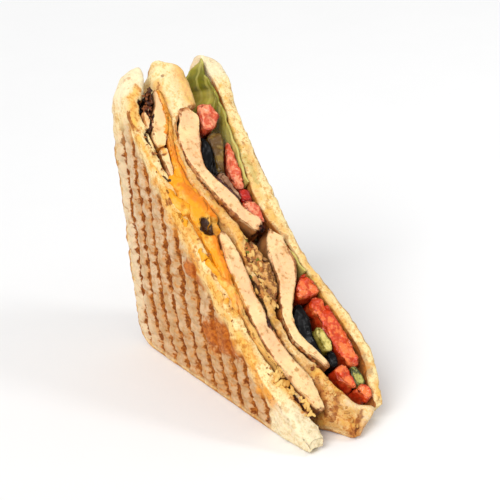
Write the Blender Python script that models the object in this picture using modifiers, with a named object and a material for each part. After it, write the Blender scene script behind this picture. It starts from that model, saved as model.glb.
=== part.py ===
"""Half of a toasted triple-decker sandwich, standing on one crust with its cut face up.

The half is a right triangle seen from the grilled side. Every layer is laid out on the cut face first:
s runs along the cut from its sharp top tip to its sharp bottom tip, y runs through the layers from the
grilled front slice to the back slice, and d is the depth behind the cut. One function, placed(), then
squeezes the layers together near the crusts and turns (s, y, d) into the upright sandwich.
Lengths are in millimetres until an object is made, and its mesh is in metres.
"""
import math

import bmesh
import bpy
import numpy as np

MM = 0.001

# Driving dimensions of the half.
LEG = 110.0                 # each crust side of the slice, as if its corners were sharp
CUT = LEG * math.sqrt(2.0)  # the cut, from sharp tip to sharp tip
LEAN_X = -7.26              # how far the top of the upright crust has slid along +X
LEAN_Y = -4.31              # how far the top leans towards the grilled front
CORNER_RADIUS = 9.0         # the crust's rounded corner
CORNER_AT = (-49.69, -16.94)  # where the foot of the upright crust stands, for a centred part
GAP = 0.45                  # room between touching layers, laid out flat

# The layers' boundaries on the cut, each as (s, y) stations: both faces of the three slices.
FRONT_OUTER = [(8, 4.0), (20, 0.0), (40, -2.5), (80, -3.0), (122, -3.0), (135, -1.5), (151, 0.5)]
FRONT_INNER = [(8, 12.5), (18, 8.5), (27, 2.5), (60, 0.6), (115, 1.0), (126, 3.0), (133, 7.0), (151, 8.5)]
MIDDLE_FRONT = [(8, 19.5), (13, 14.5), (30, 12.2), (42, 7.8), (50, 6.8), (75, 11.8), (110, 9.4),
                (132, 13.6), (142, 13.2), (152, 19.0)]
MIDDLE_BACK = [(8, 20.5), (13, 27.3), (26, 25.4), (29, 13.2), (38, 10.4), (46, 9.3), (60, 12.3),
               (76, 16.0),
               (86, 13.0), (115, 12.8), (129, 19.0), (142, 25.2), (145, 31.0), (152, 21.0)]
BACK_INNER = [(9, 36.0), (20, 36.0), (45, 31.6), (70, 28.0), (85, 30.8), (97, 32.0), (125, 36.0),
              (145, 31.0)]
BACK_OUTER = [(9, 42.0), (14, 43.5), (35, 39.0), (60, 36.6), (88, 34.5), (110, 38.5), (127, 40.0),
              (145, 34.5)]
BOUNDARIES = (FRONT_OUTER, FRONT_INNER, MIDDLE_FRONT, MIDDLE_BACK, BACK_INNER, BACK_OUTER)
# The same six boundaries at the crusts, where the slices keep their baked thickness.
AT_CRUST = (0.0, 5.8, 10.0, 16.6, 27.2, 37.0)
CRUST_REACH = (0.0, 34.0)   # over this distance from a crust the layers open up
CUT_REACH = 15.0            # this close behind the cut they keep the cut's own layout
INNER_ROOM = 0.35           # how much more room the slices leave deep inside
CRUST_ROUNDING = 4.0        # how far the crust's edges are rounded
CRUST_FLAT = 0.55           # share of a slice's thickness that is flat on the crust itself

# The pressed grill bars.
BAR_PITCH = 8.5
BAR_HALF_WIDTH = 2.2
BAR_DEPTH = 1.3
BAR_COUNT = 12

# How far the fillings stay behind the crusts.
FILLING_SETBACK = 4.5
SLICE_ROUNDING = 4.0        # exponent of a filling's rounded section: 2 is round, higher is squarer
DEPTH_SPACING = 1.25        # more divisions close behind the cut than deep inside
INNER_THINNING = 0.12       # share by which a filling is thinner deep inside


def curve(stations, at):
    """The height at each place of a smooth curve through the stations, without overshoot."""
    places, heights = np.array(stations, float).T
    steps = np.diff(places)
    slopes = np.diff(heights) / steps
    tangents = np.zeros_like(heights)
    product = slopes[:-1] * slopes[1:]
    total = slopes[:-1] + slopes[1:]
    tangents[1:-1] = np.where(product > 0, 2 * product / np.where(product > 0, total, 1), 0)
    i = np.clip(np.searchsorted(places, at) - 1, 0, len(steps) - 1)
    t = np.clip((at - places[i]) / steps[i], 0, 1)
    rise = t * t * (3 - 2 * t)
    start = heights[i] + (heights[i + 1] - heights[i]) * rise
    leave = tangents[i] * steps[i] * t * (1 - t) ** 2
    arrive = tangents[i + 1] * steps[i] * t * t * (1 - t)
    return start + leave - arrive


def step(low, high, value):
    """Rises smoothly from 0 at low to 1 at high."""
    t = np.clip((value - low) / (high - low), 0, 1)
    return t * t * (3 - 2 * t)


def soft_min(a, b, reach):
    """The smaller of two lengths, blended where they differ by less than reach."""
    h = np.clip(0.5 + 0.5 * (b - a) / reach, 0, 1)
    return b + (a - b) * h - reach * h * (1 - h)


def squeezed(s, y, d):
    """The height y through the layers, moved with them as they close up towards the crusts."""
    to_crust = np.minimum(s - d, CUT - s - d) / math.sqrt(2.0)
    behind = 1 - np.exp(-((np.maximum(d, 0) / CUT_REACH) ** 2))
    opened = 1 - (1 - step(*CRUST_REACH, to_crust)) * behind
    laid = [curve(stations, s) for stations in BOUNDARIES]
    now = [crust + (flat - crust) * opened for crust, flat in zip(AT_CRUST, laid)]
    result = np.where(y < laid[0], y + now[0] - laid[0], y + now[5] - laid[5])
    for i in range(5):
        share = (y - laid[i]) / (laid[i + 1] - laid[i])
        inside = (y >= laid[i]) & (y <= laid[i + 1])
        result = np.where(inside, now[i] + (now[i + 1] - now[i]) * share, result)
    return result


def stood_up(x, y, z):
    """Rounds the crust's corner, leans the half as it stands, and centres it. Returns metres."""
    inwards = np.stack([CORNER_RADIUS - x, CORNER_RADIUS - z])
    at_corner = (inwards > 0).all(axis=0)
    square = np.where(at_corner, inwards.max(axis=0), 1)
    circle = np.where(at_corner, np.hypot(*inwards), 1)
    x = np.where(at_corner, CORNER_RADIUS - inwards[0] * square / circle, x)
    z = np.where(at_corner, CORNER_RADIUS - inwards[1] * square / circle, z)
    height = z / LEG
    return MM * np.stack([x + LEAN_X * height + CORNER_AT[0], y + LEAN_Y * height + CORNER_AT[1], z], axis=1)


def placed(s, y, d):
    """Turns places laid out on the cut into places in the standing half."""
    x = (s - d) / math.sqrt(2.0)
    z = (CUT - s - d) / math.sqrt(2.0)
    return stood_up(x, squeezed(s, y, d), z)


def block(parts):
    """A unit box with its faces divided evenly, parts[axis] times along each axis."""
    shape = bmesh.new()
    bmesh.ops.create_cube(shape, size=1.0)
    bmesh.ops.translate(shape, verts=shape.verts, vec=(0.5, 0.5, 0.5))
    for axis, count in enumerate(parts):
        along = [e for e in shape.edges if abs(e.verts[0].co[axis] - e.verts[1].co[axis]) > 0.5]
        if count > 1:
            bmesh.ops.subdivide_edges(shape, edges=along, cuts=count - 1)
    return shape


def colour_of(name, rgb, roughness):
    """A plain food finish."""
    material = bpy.data.materials.new(name)
    material.use_nodes = True
    shader = material.node_tree.nodes["Principled BSDF"]
    shader.inputs["Base Color"].default_value = (*rgb, 1.0)
    shader.inputs["Roughness"].default_value = roughness
    shader.inputs["Metallic"].default_value = 0.0
    return material


def add_object(name, shape, material):
    """Makes the finished bmesh an object of the sandwich, smooth where it is round."""
    if shape.calc_volume(signed=True) < 0:
        bmesh.ops.reverse_faces(shape, faces=shape.faces)
    mesh = bpy.data.meshes.new(name)
    shape.to_mesh(mesh)
    shape.free()
    mesh.shade_smooth()
    mesh.set_sharp_from_angle(angle=math.radians(50))
    mesh.materials.append(material)
    made = bpy.data.objects.new(name, mesh)
    bpy.data.collections["toasted sandwich"].objects.link(made)
    return made


def move_points(shape, where):
    """Moves each vertex to where(u, v, w) says, from its place in the unit box."""
    unit = np.array([vertex.co[:] for vertex in shape.verts])
    for vertex, place in zip(shape.verts, where(*unit.T)):
        vertex.co = place


def bar_columns(first_bar, right_end):
    """Column places across a grilled slice: three on each pressed bar, closer at the crust."""
    columns = [0.0, 1.0, 3.0]
    for i in range(BAR_COUNT + 1):
        middle = first_bar + BAR_PITCH * i
        columns += [middle - BAR_HALF_WIDTH, middle, middle + BAR_HALF_WIDTH]
    inside = sorted(c for c in columns if 0.0 <= c < right_end - 1.0)
    return inside + [right_end]


def bread(name, faces, tips, columns, rows, grilled, material):
    """One slice: columns upright, from its bottom crust to the cut, and blunt round tips.

    faces are the slice's two boundaries, tips are where it starts and ends along the cut, and grilled
    is (side, first bar) for a slice with pressed bars on its -1 front or +1 back, or None.
    """
    rise = np.array([0.0, 0.009, 0.03, 0.09] + [0.09 + 0.91 * i / rows for i in range(1, rows + 1)])
    columns = np.array(columns)

    def where(u, v, w):
        x = np.interp(u, np.linspace(0, 1, len(columns)), columns)
        top = soft_min(LEG - x, x + LEG - math.sqrt(2.0) * tips[0], 4.0)
        bottom = -soft_min(0 * x, -(x + LEG - math.sqrt(2.0) * tips[1]), 3.0)
        z = bottom + (top - bottom) * np.interp(v, np.linspace(0, 1, len(rise)), rise)
        s = (x + LEG - z) / math.sqrt(2.0)
        d = (LEG - x - z) / math.sqrt(2.0)
        sides = [squeezed(s, curve(stations, s), d) for stations in faces]
        room = INNER_ROOM * step(0.0, CUT_REACH, d)
        sides[0] += room * (faces[0] is not FRONT_OUTER)
        sides[1] -= room * (faces[1] is not BACK_OUTER)
        edge = np.minimum(x, z)
        if grilled:
            side, first_bar = grilled
            off_middle = np.abs((x - first_bar + BAR_PITCH / 2) % BAR_PITCH - BAR_PITCH / 2)
            pressed = BAR_DEPTH * np.clip(1 - off_middle / BAR_HALF_WIDTH, 0, 1)
            pressed = pressed * step(2.0, 8.0, edge) * step(16.0, 30.0, s)
            sides[0 if side < 0 else 1] -= side * pressed
        middle = (sides[0] + sides[1]) / 2
        half = (sides[1] - sides[0]) / 2
        round_off = 1 - np.clip(edge / CRUST_ROUNDING, 0, 1)
        half = half * np.sqrt(1 - (1 - CRUST_FLAT ** 2) * round_off ** 2)
        return stood_up(x, middle + half * (2 * w - 1), z)

    shape = block((len(columns) - 1, len(rise) - 1, 2))
    move_points(shape, where)
    return add_object(name, shape, material)


def filling(name, span, front, back, near, far, parts, material, roundness=SLICE_ROUNDING):
    """A piece of filling between its front and back faces, rounded along the cut's section.

    span is where it starts and ends along the cut, near is how far behind the cut its cut end lies,
    and far is its depth, or None for a layer that runs through to the crusts.
    """
    def where(u, v, w):
        across = np.stack([2 * u - 1, 2 * w - 1])
        square = np.abs(across).max(axis=0)
        norm = (np.abs(across) ** roundness).sum(axis=0) ** (1 / roundness)
        across = across * np.where(norm > 0, square / np.where(norm > 0, norm, 1), 1)
        s = (span[0] + span[1]) / 2 + across[0] * (span[1] - span[0]) / 2
        deepest = soft_min(s, CUT - s, 10.0) - FILLING_SETBACK * math.sqrt(2.0)
        if far is not None:
            deepest = np.minimum(deepest, far)
        d = near + (deepest - near) * v ** DEPTH_SPACING
        low, high = curve(front, s), curve(back, s)
        half = (high - low) / 2 * (1 - INNER_THINNING * step(0.0, CUT_REACH, d))
        return placed(s, (low + high) / 2 + across[1] * half, d)

    shape = block(parts)
    move_points(shape, where)
    return add_object(name, shape, material)


def leaf(name, span, near, far, ripple, thickness, parts, material):
    """A thin wavy leaf lying along the back slice. ripple gives its wave's height along the cut."""
    shape = bmesh.new()
    bmesh.ops.create_grid(shape, x_segments=parts[0], y_segments=parts[1], size=0.5)
    bmesh.ops.translate(shape, verts=shape.verts, vec=(0.5, 0.5, 0.0))
    bmesh.ops.triangulate(shape, faces=shape.faces)

    def where(u, v, w):
        s = span[0] + (span[1] - span[0]) * u
        deepest = np.minimum(far, soft_min(s, CUT - s, 10.0) - FILLING_SETBACK)
        frill = 0.9 * np.sin(s * 0.9) + 0.7 * np.sin(s * 0.37 + 1.0)
        d = near + frill + (deepest - near) * v
        height = curve(ripple, s)
        wave = 0.5 + 0.5 * np.sin(s * 0.55 + d * 0.25) * np.cos(d * 0.21 - s * 0.1)
        return placed(s, curve(BACK_INNER, s) - GAP - thickness / 2 - 0.15 - 2 * height * wave + 0 * w, d)

    move_points(shape, where)
    made = add_object(name, shape, material)
    solid = made.modifiers.new("leaf thickness", "SOLIDIFY")
    solid.thickness = thickness * MM
    solid.offset = 0.0
    solid.use_even_offset = False
    return made


def add_breads():
    """The grilled front slice, the plain middle slice and the grilled back slice."""
    crumb = colour_of("toasted_bread", (0.70, 0.44, 0.20), 0.8)
    soft = colour_of("middle_bread", (0.80, 0.58, 0.27), 0.85)
    front_tips, middle_tips, back_tips = (8.6, 150.5), (8.0, 152.0), (9.5, 144.8)
    front_right = front_tips[1] / math.sqrt(2.0) - 1.5
    middle_right = middle_tips[1] / math.sqrt(2.0) - 1.5
    back_right = back_tips[1] / math.sqrt(2.0) - 1.5
    bread("bread_front", (FRONT_OUTER, FRONT_INNER), front_tips, bar_columns(BAR_PITCH, front_right), 9,
          (-1, BAR_PITCH), crumb)
    plain_columns = [0.0, 1.5, 4.0] + [middle_right * (i + 1) / 19 for i in range(1, 19)]
    bread("bread_middle", (MIDDLE_FRONT, MIDDLE_BACK), middle_tips, plain_columns, 12, None, soft)
    bread("bread_back", (BACK_INNER, BACK_OUTER), back_tips, bar_columns(BAR_PITCH / 2, back_right), 9,
          (1, BAR_PITCH / 2), crumb)


def add_cheese():
    """Melted cheese: behind the upper chicken, then in front of the lower."""
    melted = colour_of("melted_cheese", (0.90, 0.42, 0.03), 0.35)
    filling("cheese", (20, 126),
            [(20, 12.5), (30, 11.1), (38, 7.8), (46, 5.1), (57, 1.7), (75, 1.6), (95, 1.2),
             (112, 1.5), (126, 3.7)],
            [(20, 13.1), (30, 11.6), (38, 8.6), (50, 6.0), (64, 8.3), (74, 5.6), (90, 3.4),
             (112, 2.2), (126, 4.4)],
            -0.8, None, (32, 8, 1), melted)


def add_front_chicken():
    """The sliced chicken and browned mince between the front and the middle slice."""
    meat = colour_of("chicken", (0.86, 0.60, 0.38), 0.5)
    seared = colour_of("seared_mince", (0.24, 0.09, 0.03), 0.7)
    filling("mince", (18.5, 24.2), [(18.5, 9.0), (24.2, 6.4)], [(18.5, 10.2), (21, 9.7), (24.2, 8.5)],
            -0.6, 10.0, (4, 3, 2), seared, 3.0)
    filling("chicken_front_1", (24.6, 33.4), [(24.6, 5.0), (28, 3.0), (33.4, 2.3)],
            [(24.6, 6.2), (28, 5.2), (33.4, 3.0)], -0.4, 14.0, (5, 3, 2), meat)
    filling("chicken_front_2", (19.5, 40.0), [(19.5, 11.0), (24, 9.3), (33, 3.6), (40, 2.1)],
            [(19.5, 11.9), (25, 11.4), (33, 9.5), (40, 5.9)], -1.0, None, (8, 4, 2), meat)
    filling("chicken_front_3", (40.6, 53.0), [(40.6, 2.2), (53, 1.5)], [(40.6, 5.2), (53, 2.3)],
            -0.6, 24.0, (6, 3, 2), meat)
    filling("chicken_front_4", (74.4, 139.6),
            [(74.4, 6.4), (90, 4.1), (105, 3.0), (112, 2.8), (121, 3.8), (131, 6.6), (139.6, 10.0)],
            [(74.4, 10.6), (90, 9.9), (98, 8.6), (110, 8.2), (120, 9.2), (131, 12.2), (139.6, 12.2)],
            -1.6, None, (20, 7, 2), meat)


def add_back_chicken():
    """The two long slices behind the middle bread, and the herby shreds beside them."""
    meat = bpy.data.materials["chicken"]
    shreds = colour_of("herby_shreds", (0.42, 0.24, 0.08), 0.7)
    filling("chicken_back_upper", (29.6, 77.4),
            [(29.6, 15.4), (38, 11.0), (46, 9.9), (52, 10.9), (60, 13.0), (68, 15.0), (77.4, 19.6)],
            [(29.6, 21.4), (32, 22.6), (38, 19.6), (46, 16.0), (51, 14.9), (60, 18.0), (68, 21.0),
             (77.4, 25.4)],
            -1.4, None, (15, 7, 2), meat)
    filling("chicken_back_lower", (77.8, 128.2),
            [(77.8, 25.0), (82, 22.2), (90, 20.6), (96, 19.7), (101, 17.0), (108, 14.3), (115, 13.7),
             (128.2, 20.2)],
            [(77.8, 27.0), (82, 29.3), (90, 29.2), (96, 26.8), (101, 23.0), (107, 18.5), (113, 16.9),
             (128.2, 21.6)],
            -1.0, None, (15, 7, 2), meat)
    filling("chicken_shreds", (80.6, 101.2), [(80.6, 15.6), (86, 13.7), (101.2, 13.6)],
            [(80.6, 18.4), (90, 19.4), (96, 18.6), (101.2, 15.6)], -0.8, 22.0, (8, 3, 2), shreds, 2.6)


def add_tomatoes():
    """Tomato pieces against the back slice, largest at the foot of the cut."""
    flesh = colour_of("tomato", (0.70, 0.09, 0.05), 0.25)
    filling("tomato_1", (28.8, 38.0), [(28.8, 24.4), (33, 23.3), (38, 21.6)],
            [(28.8, 28.6), (33, 30.2), (38, 27.0)],
            -0.6, 16.0, (5, 3, 2), flesh)
    filling("tomato_2", (43.6, 61.0), [(43.6, 28.2), (48, 26.0), (54, 23.3), (61, 23.0)],
            [(43.6, 29.2), (50, 28.5), (61, 26.9)], 0.4, 30.0, (7, 4, 2), flesh)
    filling("tomato_3", (61.8, 66.0), [(61.8, 23.4), (66, 23.2)], [(61.8, 26.7), (66, 26.4)],
            0.8, 14.0, (3, 3, 2), flesh)
    filling("tomato_4", (66.7, 74.8), [(66.7, 22.2), (70, 22.8), (74.8, 25.2)],
            [(66.7, 26.3), (70, 26.6), (74.8, 26.4)],
            -0.4, 18.0, (5, 3, 2), flesh)
    filling("tomato_5", (96.6, 104.0), [(96.6, 27.6), (100, 24.8), (104, 23.6)],
            [(96.6, 30.4), (100, 31.6), (104, 32.2)],
            -1.0, 18.0, (5, 3, 2), flesh)
    filling("tomato_6", (104.7, 130.2), [(104.7, 26.6), (112, 27.6), (124, 27.6), (130.2, 28.9)],
            [(104.7, 32.4), (115, 33.6), (130.2, 33.8)], 0.2, 30.0, (9, 4, 2), flesh)
    filling("tomato_7", (129.0, 136.8), [(129, 22.6), (133, 23.6), (136.8, 25.7)],
            [(129, 27.6), (136.8, 27.3)],
            -0.2, 14.0, (5, 3, 2), flesh)
    filling("tomato_8", (137.5, 141.8), [(137.5, 27.0), (141.8, 28.2)], [(137.5, 31.0), (141.8, 30.8)],
            -0.6, 8.0, (4, 3, 2), flesh)


def add_olives_and_pickles():
    """Black olive pieces, red onion, a cooked pepper strip, a pickle and a bit of green pepper."""
    black = colour_of("black_olive", (0.012, 0.010, 0.012), 0.2)
    purple = colour_of("red_onion", (0.16, 0.05, 0.06), 0.3)
    pale = colour_of("pale_onion", (0.62, 0.45, 0.33), 0.35)
    brown = colour_of("cooked_pepper", (0.26, 0.17, 0.04), 0.3)
    green = colour_of("pickle", (0.36, 0.36, 0.05), 0.3)
    filling("olive_1", (40.4, 53.0), [(40.4, 19.8), (46, 16.8), (53, 16.4)],
            [(40.4, 21.0), (44, 21.8), (53, 17.6)],
            0.8, 12.0, (6, 3, 2), black, 2.6)
    filling("olive_2", (104.7, 125.0), [(104.7, 21.6), (110, 18.4), (116, 18.5), (125, 21.7)],
            [(104.7, 25.3), (110, 25.0), (116, 22.7), (125, 22.9)], 2.0, 16.0, (8, 3, 2), black, 2.8)
    filling("olive_3", (123.6, 128.3), [(123.6, 23.6), (128.3, 22.6)], [(123.6, 26.4), (128.3, 25.6)],
            0.6, 9.0, (4, 3, 2), black, 2.6)
    filling("onion_purple", (54.0, 66.0), [(54, 16.9), (60, 18.7), (66, 21.1)],
            [(54, 18.6), (60, 20.3), (66, 21.9)],
            1.0, 16.0, (6, 3, 2), purple)
    filling("onion_pale", (54.6, 64.6), [(54.6, 19.2), (60, 20.9), (64.6, 22.1)],
            [(54.6, 21.4), (60, 22.2), (64.6, 22.8)],
            0.4, 16.0, (6, 3, 2), pale)
    filling("pepper_cooked", (38.7, 54.0), [(38.7, 23.0), (46, 22.4), (54, 21.3)],
            [(38.7, 29.0), (44, 27.2), (54, 22.6)],
            1.4, 20.0, (8, 3, 2), brown)
    filling("pickle", (114.6, 123.0), [(114.6, 23.8), (123, 23.6)],
            [(114.6, 26.4), (119, 26.9), (123, 26.6)],
            0.0, 10.0, (5, 3, 2), green, 2.8)
    filling("pepper_green", (130.8, 137.0), [(130.8, 28.6), (137, 28.1)], [(130.8, 31.0), (137, 31.2)],
            0.0, 9.0, (4, 3, 2), green, 3.0)


def add_leaves():
    """The lettuce: one leaf down from the top tip, one small piece lower on the cut."""
    lettuce = colour_of("lettuce", (0.30, 0.33, 0.05), 0.4)
    leaf("lettuce_top", (11.5, 60.0), -0.6, 26.0, [(11.5, 2.4), (26, 1.8), (33, 0.8), (42, 0.2)],
         0.7, (16, 5), lettuce)
    leaf("lettuce_lower", (84.0, 95.6), -0.4, 20.0, [(84, 0.1), (95.6, 0.1)], 0.6, (4, 3), lettuce)


def main():
    for old in list(bpy.data.objects):
        bpy.data.objects.remove(old, do_unlink=True)
    sandwich = bpy.data.collections.new("toasted sandwich")
    bpy.context.scene.collection.children.link(sandwich)
    add_breads()
    add_cheese()
    add_front_chicken()
    add_back_chicken()
    add_tomatoes()
    add_olives_and_pickles()
    add_leaves()


main()
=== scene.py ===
import math

import bmesh
import bpy
import numpy as np
from mathutils import Matrix, Vector


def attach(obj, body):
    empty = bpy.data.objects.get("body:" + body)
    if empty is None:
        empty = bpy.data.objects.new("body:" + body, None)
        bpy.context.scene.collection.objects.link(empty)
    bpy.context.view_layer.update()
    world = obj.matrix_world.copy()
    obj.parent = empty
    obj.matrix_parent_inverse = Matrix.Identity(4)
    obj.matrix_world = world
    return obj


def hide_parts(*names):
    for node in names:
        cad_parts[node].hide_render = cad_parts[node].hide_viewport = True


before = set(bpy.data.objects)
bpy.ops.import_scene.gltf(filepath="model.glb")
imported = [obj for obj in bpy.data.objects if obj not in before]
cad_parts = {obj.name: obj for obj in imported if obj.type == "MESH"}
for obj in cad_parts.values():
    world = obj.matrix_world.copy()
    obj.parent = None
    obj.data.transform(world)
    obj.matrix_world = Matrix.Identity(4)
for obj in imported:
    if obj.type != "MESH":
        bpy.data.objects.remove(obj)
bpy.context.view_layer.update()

# The half is laid out on its cut face in millimetres: s runs along the cut from the sharp top tip, y
# through the layers from the grilled front slice, and d behind the cut.
MM = 0.001
ROOT2 = math.sqrt(2.0)
LEG = 110.0                # a crust side
CUT = LEG * ROOT2
LEAN_X = -7.26             # how far the half leans at its top, along the crust that it stands on
LEAN_Y = -4.31             # and through the layers, towards the front
CORNER_RADIUS = 9.0        # of the corner between the two crusts
CORNER_AT = (-49.69, -16.94)    # where that corner stands

FRONT_OUTER = [(8, 4.0), (20, 0.0), (40, -2.5), (80, -3.0), (122, -3.0), (135, -1.5), (151, 0.5)]
FRONT_INNER = [(8, 12.5), (18, 8.5), (27, 2.5), (60, 0.6), (115, 1.0), (126, 3.0), (133, 7.0), (151, 8.5)]
MIDDLE_FRONT = [(8, 19.5), (13, 14.5), (30, 12.2), (42, 7.8), (50, 6.8), (75, 11.8), (110, 9.4),
                (132, 13.6), (142, 13.2), (152, 19.0)]
MIDDLE_BACK = [(8, 20.5), (13, 27.3), (26, 25.4), (29, 13.2), (38, 10.4), (46, 9.3), (60, 12.3),
               (76, 16.0), (86, 13.0), (115, 12.8), (129, 19.0), (142, 25.2), (145, 31.0), (152, 21.0)]
BACK_INNER = [(9, 36.0), (20, 36.0), (45, 31.6), (70, 28.0), (85, 30.8), (97, 32.0), (125, 36.0),
              (145, 31.0)]
BACK_OUTER = [(9, 42.0), (14, 43.5), (35, 39.0), (60, 36.6), (88, 34.5), (110, 38.5), (127, 40.0),
              (145, 34.5)]
# The shown crumb fills the corner above the upper chicken.
MIDDLE_BACK_SHOWN = [(8, 20.5), (13, 27.3), (26.8, 25.6), (30.8, 15.2), (35, 12.4), (40, 10.9), (46, 9.7)]
MIDDLE_BACK_SHOWN += MIDDLE_BACK[6:]
BOUNDARIES = (FRONT_OUTER, FRONT_INNER, MIDDLE_FRONT, MIDDLE_BACK, BACK_INNER, BACK_OUTER)
AT_CRUST = (0.0, 5.8, 10.0, 16.6, 27.2, 37.0)    # the same boundaries where the crusts press them
CRUST_REACH = (0.0, 34.0)  # from the crusts inwards, where the layers open up
CUT_REACH = 15.0           # about how far behind the cut they keep their places on it
CRUST_ROUNDING = 4.0
CRUST_FLAT = 0.55          # how much of a slice's thickness is left at the edge of its crust
TIP_ROUNDING = 7.0         # how far the rounding of a slice's upper tip reaches
TIP_BLUNTED = 1.5          # how much a slice's lower tip is cut short
TAPER_REACH = 7.0          # how far a grilled slice thins towards that tip
TAPER = 0.25               # and by what share
TORN_FROM = 88.0           # how far from the upright crust the torn lower tip starts
TORN_HEIGHTS = (19.0, 11.0)    # between which it fades out upwards
BAR_PITCH = 8.5
BAR_DEPTH = 1.5
KNOB_PITCH = 5.6           # from one puffed knob between the bars to the next
FILLING_SETBACK = 4.5      # how far before the crusts the fillings end
FULLER = 0.22              # how far each filling bulges to touch its neighbours
FLECK_LIFT = 0.5           # how far at most the middle of a loose bit stands off the cut

# What marks the cut: each mark is a half width and its points (along the cut, through the layers).
CHEESE_MARKS = (
    (0.9, ((21, 13.2), (26, 12.0), (31, 10.8))),
    (1.5, ((33, 9.8), (38, 7.9), (46, 6.4), (54, 5.6))),
    (2.7, ((55, 4.0), (60, 5.0), (64, 7.4))),
    (1.5, ((64, 7.6), (68, 9.2))),
    (1.3, ((75, 4.8), (80, 4.2), (86, 2.8), (92, 2.0))),
    (1.0, ((97, 2.0), (101, 1.4))))
RUN_MARKS = (
    (2.6, ((54, 3.0), (59, 4.2), (64, 7.4))),
    (1.7, ((56, -2.4), (60, -1.2), (63, 1.5))),
    (1.2, ((64, -3.0), (68, -1.6))),
    (1.5, ((65, 8.2), (68, 9.2))),
    (1.2, ((74.5, 5.4), (80, 4.2), (86, 2.8), (91, 2.0))),
    (0.9, ((78, -1.8), (84, -0.6), (88, 0.4))),
    (1.3, ((90, 0.8), (95, 2.0), (100, 1.2))),
    (0.8, ((93, -3.0), (97, -1.6))))
SOAKED_MARKS = (
    (2.8, ((55, -3.0), (60, 0.0), (65, 1.5))),
    (2.2, ((62, -4.0), (68, -1.5), (75, -1.0))),
    (2.4, ((86, 0.5), (93, 2.6), (102, 0.6))),
    (2.0, ((88, -3.5), (96, -3.0))),
    (1.8, ((108, -3.0), (118, -2.0))),
    (1.5, ((127, 1.5), (133, 4.0), (138, 5.5))),
    (1.9, ((17, 6.0), (21, 2.0), (30, -1.5))),
    (0.6, ((33, -1.8), (44, -2.2), (52, -1.8))),
    (1.0, ((40, 3.6), (43, 3.8))),
    (3.4, ((12, 26.0), (20, 24.6), (25, 23.5))),
    (1.4, ((16, 14.6), (24, 14.0))),
    (0.9, ((36, 10.4), (41, 8.4))),
    (1.6, ((30, 33.6), (44, 31.6))),
    (1.3, ((46, 34.6), (58, 32.6))),
    (1.7, ((58, 29.8), (66, 29.4))),
    (1.2, ((72, 30.0), (80, 31.6))),
    (1.2, ((90, 33.4), (100, 34.0))),
    (1.6, ((64, 9.5), (72, 12.5), (78, 14.0))),
    (1.4, ((80, 12.0), (92, 14.0))),
    (1.3, ((104, 33.4), (118, 35.8))),
    (1.6, ((128, 16.6), (134, 19.4), (138, 23.0))),
    (1.2, ((138, 35.0), (143, 32.6))))
BROWN_MARKS = (
    (0.34, ((27.0, 25.0), (28.3, 19.0), (31, 14.6), (36, 11.6), (42, 9.9))),
    (0.42, ((42, 9.9), (50, 9.5), (56, 11.0), (62, 13.3))),
    (0.35, ((16, 14.8), (20, 13.6), (28, 12.5))),
    (0.6, ((24, -1.2), (29, -1.8), (32, -1.0))),
    (0.4, ((41, 0.6), (43, 2.4), (42.6, 4.0))),
    (0.4, ((112, 9.4), (120, 10.4), (128, 12.9), (134, 14.0), (138, 12.9))),
    (0.45, ((100, 17.4), (104, 15.2), (110, 13.4), (116, 13.2), (122, 15.0))),
    (0.4, ((52, 9.6), (60, 11.6), (68, 13.6))),
    (0.45, ((64, 14.0), (68, 15.2), (73, 17.4), (76, 18.6))),
    (0.45, ((76, 29.0), (82, 31.0), (92, 31.4))),
    (0.45, ((84, 29.4), (92, 28.4), (98, 25.6))),
    (0.7, ((82, 11.4), (88, 11.8), (90, 12.6))),
    (1.2, ((93, 12.0), (97, 11.8), (99, 12.2))),
    (0.8, ((86, 18.0), (92, 17.0))),
    (1.3, ((131, 15.0), (137, 14.0), (141, 12.8))),
    (1.1, ((137, 19.6), (140, 17.0), (144, 13.6))),
    (1.1, ((127, 2.8), (133, 4.2), (140, 7.4))),
    (0.5, ((86, -1.4), (89, -2.0))),
    (0.45, ((58, -2.4), (60, -3.0))),
    (0.5, ((76, 1.4), (79, 0.6))),
    (0.6, ((102, 3.0), (106, 2.2))),
    (0.7, ((145, 25.0), (148, 21.0), (151, 17.6))),
    (0.7, ((140, 24.0), (142.5, 25.0))),
    (1.5, ((121, 34.2), (128, 35.4), (134, 34.2))),
    (0.5, ((14.6, 17.0), (14.6, 17.6))),
    (0.8, ((70.6, 9.8), (71.2, 11.2))),
    (0.4, ((48, 37.2), (60, 36.2), (74, 35.0), (88, 34.1), (100, 36.2), (112, 38.2), (124, 39.4))),
    (0.5, ((45, 33.6), (46, 34.2))),
    (0.5, ((78, 33.4), (79.5, 33.8))))
# The hole mark and the dark marks paint shadow into the holes and gaps between the layers; mark_cut also
# sinks them a little.
HOLE_MARK = (1.8, ((69.4, 5.0), (72.8, 4.6)))
DARK_MARKS = (
    (0.6, ((18.6, 10.4), (22, 8.2), (25, 5.2))),
    (1.0, ((22.5, 4.8), (26, 5.0), (28.5, 5.6))),
    (0.5, ((28.5, 5.4), (32, 3.4), (34.5, 0.6), (38, 0.2))),
    (0.4, ((50.6, -0.8), (52.6, 0.2))),
    HOLE_MARK,
    (1.4, ((76.4, 25.0), (79, 21.6), (84, 19.4), (88, 19.0))),
    (0.55, ((92, 10.4), (98, 10.7), (103, 9.9), (108, 8.0), (112, 8.6))),
    (0.7, ((130, 4.6), (134, 5.2), (138, 6.2))),
    (1.5, ((141.4, 8.2), (143, 9.6), (144.6, 11.8))))
GREEN_MARKS = (
    (1.4, ((28, 31.0), (40, 31.8), (50, 30.2))),
    (1.0, ((50, 32.0), (60, 31.4))),
    (1.2, ((82, 15.6), (86, 16.4))),
    (1.0, ((93, 30.8), (98, 31.8), (104, 32.4))),
    (1.1, ((36, 27.0), (42, 27.2))))
# The same on the grilled face: points are (from the upright crust, above the lower one).
SCORCHED_MARKS = (
    (4.8, ((58, 25.5), (67, 27.5), (76, 29.5))),
    (2.2, ((48, 47.0), (57, 44.0))))


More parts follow.
